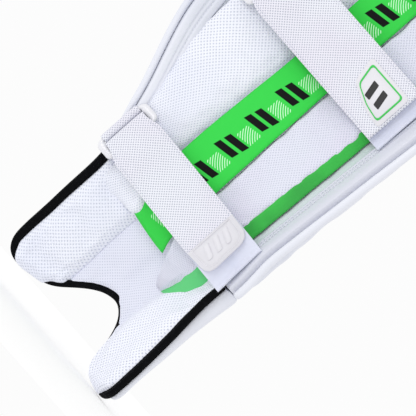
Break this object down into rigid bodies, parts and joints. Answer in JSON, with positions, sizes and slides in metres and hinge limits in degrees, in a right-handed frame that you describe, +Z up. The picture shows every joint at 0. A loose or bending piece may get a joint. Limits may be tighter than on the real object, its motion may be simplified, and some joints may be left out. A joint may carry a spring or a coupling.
{
  "type": "cricket leg pad",
  "caption": "Batting leg pad for the right leg: ribbed shin guard with knee roll and top flap, padded leg side, flexing instep over the shoe, and three doubled straps with loops.",
  "frame": {"origin": "on the centre line of the leg side, level with the lowest point of the shoe lobes, where the middle lining plane would meet that level", "axes": "+Z up the leg, +Y towards the leg, +X to the inner side of the right leg"},
  "size_m": [0.3255, 0.1382, 0.7352],
  "materials": {
    "white_pu": "semi-gloss polyurethane leather",
    "white_air_mesh": "dotted air mesh",
    "foam": "cut high-density foam",
    "cane": "split cane rod",
    "black_binding_tape": "folded binding tape",
    "green_satin": "printed satin",
    "green_cloth": "matt woven cloth",
    "white_plastic": "moulded plastic",
    "moulded_patch": "moulded soft rubber, and a stitched label",
    "white_webbing": "woven strap with a dotted face"
  },
  "bodies": {
    "pad": {"shin_rib_1": "white_pu", "shin_rib_2": "white_pu", "shin_rib_3": "white_pu", "shin_rib_4": "white_pu", "shin_rib_5": "white_pu", "shin_rib_6": "white_pu", "shin_rib_7": "white_pu", "cane_rod_1": "cane", "cane_rod_2": "cane", "cane_rod_3": "cane", "cane_rod_4": "cane", "cane_rod_5": "cane", "cane_rod_6": "cane", "shin_foam_core": "foam", "shin_lining": "white_air_mesh", "outer_side_wing": "white_pu", "inner_side_wing": "white_pu", "outer_wing_piping": "white_pu", "inner_wing_piping": "white_pu", "knee_roll_bar_1": "white_pu", "knee_roll_bar_2": "white_pu", "knee_roll_bar_3": "white_pu", "centre_bolster": "white_air_mesh", "green_centre_strip": "green_satin", "inner_mesh_bolster": "white_air_mesh", "outer_mesh_bolster": "white_air_mesh", "green_gusset": "green_cloth", "inner_knee_cushion": "white_air_mesh", "outer_knee_cushion": "white_air_mesh", "knee_cup_pad": "white_air_mesh", "ankle_strap_under": "white_webbing", "ankle_loop_webbing": "white_webbing", "calf_strap_under": "white_webbing", "calf_loop_webbing": "white_webbing", "knee_strap_under": "white_webbing", "knee_loop_webbing": "white_webbing"},
    "instep": {"instep_front_cover": "white_pu", "instep_foam_insert": "foam", "inner_lobe_lining": "white_air_mesh", "instep_lining": "white_air_mesh", "outer_edge_black_binding": "black_binding_tape", "arch_black_binding": "black_binding_tape", "inner_edge_black_binding": "black_binding_tape"},
    "top_flap": {"top_flap_core": "foam", "top_flap_lining": "white_air_mesh", "top_flap_rib_1": "white_pu", "top_flap_rib_2": "white_pu", "top_flap_rib_3": "white_pu", "top_flap_rib_4": "white_pu", "top_flap_rib_5": "white_pu", "top_flap_binding": "white_pu"},
    "ankle_loop": {"ankle_loop": "white_plastic"},
    "ankle_strap_end": {"ankle_strap_over": "white_webbing", "ankle_strap_end_patch": "moulded_patch"},
    "calf_loop": {"calf_loop": "white_plastic"},
    "calf_strap_end": {"calf_strap_over": "white_webbing", "calf_strap_label": "moulded_patch"},
    "knee_loop": {"knee_loop": "white_plastic"},
    "knee_strap_end": {"knee_strap_over": "white_webbing", "knee_strap_label": "moulded_patch"}
  },
  "joints": [
    {"name": "instep_flex", "type": "hinge", "parent": "pad", "child": "instep", "pos_m": [0, -0.0513, 0.1897], "axis": [-1, 0, 0], "range_deg": [0, 10]},
    {"name": "top_flap_flex", "type": "hinge", "parent": "pad", "child": "top_flap", "pos_m": [0, -0.0361, 0.6071], "axis": [1, 0, 0], "range_deg": [0, 15]},
    {"name": "ankle_strap_peel", "type": "hinge", "parent": "pad", "child": "ankle_strap_end", "pos_m": [0.0872, 0.0392, 0.201], "axis": [0, 0, -1], "range_deg": [0, 110]},
    {"name": "ankle_loop_swing", "type": "hinge", "parent": "pad", "child": "ankle_loop", "pos_m": [0.099, 0.033, 0.201], "axis": [0, 0, 1], "range_deg": [-3, 3]},
    {"name": "calf_strap_peel", "type": "hinge", "parent": "pad", "child": "calf_strap_end", "pos_m": [0.1102, 0.0472, 0.426], "axis": [0, 0, -1], "range_deg": [0, 110]},
    {"name": "calf_loop_swing", "type": "hinge", "parent": "pad", "child": "calf_loop", "pos_m": [0.122, 0.0415, 0.426], "axis": [0, 0, 1], "range_deg": [-3, 3]},
    {"name": "knee_strap_peel", "type": "hinge", "parent": "pad", "child": "knee_strap_end", "pos_m": [0.1102, 0.0512, 0.568], "axis": [0, 0, -1], "range_deg": [0, 110]},
    {"name": "knee_loop_swing", "type": "hinge", "parent": "pad", "child": "knee_loop", "pos_m": [0.122, 0.0457, 0.568], "axis": [0, 0, 1], "range_deg": [-3, 3]}
  ]
}
